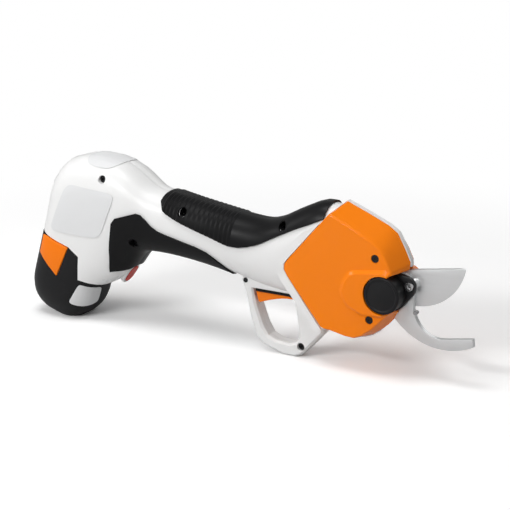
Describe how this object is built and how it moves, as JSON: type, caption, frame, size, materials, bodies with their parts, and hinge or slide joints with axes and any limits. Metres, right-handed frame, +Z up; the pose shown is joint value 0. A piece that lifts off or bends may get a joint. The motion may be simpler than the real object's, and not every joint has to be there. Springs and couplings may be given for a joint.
{
  "type": "battery electric pruner",
  "caption": "One-handed battery pruner with a bent white handle, black ribbed grip, orange gear head, hooked counter blade, swinging cutting blade, trigger guard and slide-in battery",
  "frame": {"origin": "on the floor under the middle of the box round the part, with the battery and the finger guard standing on the floor", "axes": "+X points to the blades, +Y to the user's left, +Z up"},
  "size_m": [0.3651, 0.0532, 0.129],
  "materials": {
    "white_shell": "moulded, lightly polished white plastic",
    "orange_shell": "moulded orange plastic",
    "orange_control": "satin orange plastic",
    "soft_grip": "soft black overmould",
    "black_plastic": "fine-grained black plastic",
    "black_metal": "black coated steel",
    "blade_steel": "ground satin blade steel",
    "fastener_steel": "plated steel",
    "gear_steel": "cut gear steel",
    "cast_case": "die-cast alloy",
    "bronze": "bronze",
    "winding": "lacquered copper windings on a laminated core",
    "red_button": "red plastic",
    "cell_wrap": "shrink wrap on steel cells",
    "board": "lacquered circuit board"
  },
  "bodies": {
    "handle": {"housing_right": "white_shell", "housing_left": "white_shell", "upper_grip_right": "soft_grip", "upper_grip_left": "soft_grip", "lower_grip_right": "soft_grip", "lower_grip_left": "soft_grip", "head_cover_right": "orange_shell", "head_cover_left": "orange_shell", "counter_blade": "blade_steel", "lock_plate": "black_metal", "lock_screw": "fastener_steel", "pivot_bolt": "fastener_steel", "pivot_nut": "fastener_steel", "thrust_washer": "fastener_steel", "pivot_cap": "black_plastic", "gear_case": "cast_case", "front_bearing": "gear_steel", "rear_bearing": "gear_steel", "ring_gear": "gear_steel", "motor_can": "black_metal", "motor_stator": "winding", "trigger_pin": "fastener_steel", "trigger_sensor": "black_plastic", "button_bezel": "white_shell", "button_switch": "black_plastic", "battery_socket": "black_plastic", "terminals": "bronze", "control_board": "board", "housing_screws": "black_metal", "cover_screws_right": "black_metal", "cover_screws_left": "black_metal", "trigger_spring": "fastener_steel"},
    "blade": {"cutting_blade": "blade_steel", "blade_bush": "bronze", "sector_gear": "gear_steel"},
    "carrier": {"pinion_shaft": "gear_steel", "planet_carrier": "gear_steel"},
    "planet_1": {"planet_gear_1": "gear_steel"},
    "planet_2": {"planet_gear_2": "gear_steel"},
    "planet_3": {"planet_gear_3": "gear_steel"},
    "rotor": {"motor_rotor": "gear_steel", "sun_gear": "gear_steel"},
    "trigger_lever": {"trigger": "orange_control"},
    "button": {"power_button": "red_button"},
    "battery": {"battery_case": "black_plastic", "battery_cells": "cell_wrap", "battery_lid": "black_plastic", "latch_spring_right": "fastener_steel", "latch_spring_left": "fastener_steel"},
    "latch_right": {"battery_latch_right": "orange_control"},
    "latch_left": {"battery_latch_left": "orange_control"}
  },
  "joints": [
    {"name": "blade_swing", "type": "hinge", "parent": "handle", "child": "blade", "pos_m": [0.1205, 0, 0.062], "axis": [0, 1, 0], "range_deg": [0, 48]},
    {"name": "carrier_spin", "type": "hinge", "parent": "handle", "child": "carrier", "pos_m": [0.061, 0, 0.06973], "axis": [0.9917, 0, -0.1288], "range_deg": [-4, 196]},
    {"name": "rotor_spin", "type": "hinge", "parent": "handle", "child": "rotor", "pos_m": [0.0015, 0, 0.07745], "axis": [0.9917, 0, -0.1288], "range_deg": [0, 960]},
    {"name": "planet_1_spin", "type": "hinge", "parent": "carrier", "child": "planet_1", "pos_m": [0.0366, 0.0075, 0.0729], "axis": [0.9917, 0, -0.1288], "range_deg": [-523, 11]},
    {"name": "planet_2_spin", "type": "hinge", "parent": "carrier", "child": "planet_2", "pos_m": [0.03577, -0.00375, 0.06646], "axis": [0.9917, 0, -0.1288], "range_deg": [-523, 11]},
    {"name": "planet_3_spin", "type": "hinge", "parent": "carrier", "child": "planet_3", "pos_m": [0.03744, -0.00375, 0.07934], "axis": [0.9917, 0, -0.1288], "range_deg": [-523, 11]},
    {"name": "trigger_pull", "type": "hinge", "parent": "handle", "child": "trigger_lever", "pos_m": [0.05, 0, 0.0534], "axis": [0, 1, 0], "range_deg": [0, 8], "stiffness_Nm_per_rad": 0.15, "springref_deg": -11.46, "deforming": ["trigger_spring"]},
    {"name": "button_press", "type": "slide", "parent": "handle", "child": "button", "axis": [-0.8192, 0, 0.5736], "range_m": [0, 0.0012], "stiffness_N_per_m": 600, "springref_m": -0.0006},
    {"name": "battery_slide", "type": "slide", "parent": "handle", "child": "battery", "axis": [-0.2756, 0, -0.9613], "range_m": [0, 0.06]},
    {"name": "latch_right_press", "type": "slide", "parent": "battery", "child": "latch_right", "axis": [0, 1, 0], "range_m": [0, 0.002], "stiffness_N_per_m": 500, "springref_m": -0.001, "deforming": ["latch_spring_right"]},
    {"name": "latch_left_press", "type": "slide", "parent": "battery", "child": "latch_left", "axis": [0, -1, 0], "range_m": [0, 0.002], "stiffness_N_per_m": 500, "springref_m": -0.001, "deforming": ["latch_spring_left"]}
  ],
  "couplings": [
    {"joint": "blade_swing", "follows": "rotor_spin", "ratio": 0.05},
    {"joint": "carrier_spin", "follows": "rotor_spin", "ratio": 0.2},
    {"joint": "planet_1_spin", "follows": "rotor_spin", "ratio": -0.53333},
    {"joint": "planet_2_spin", "follows": "rotor_spin", "ratio": -0.53333},
    {"joint": "planet_3_spin", "follows": "rotor_spin", "ratio": -0.53333}
  ]
}
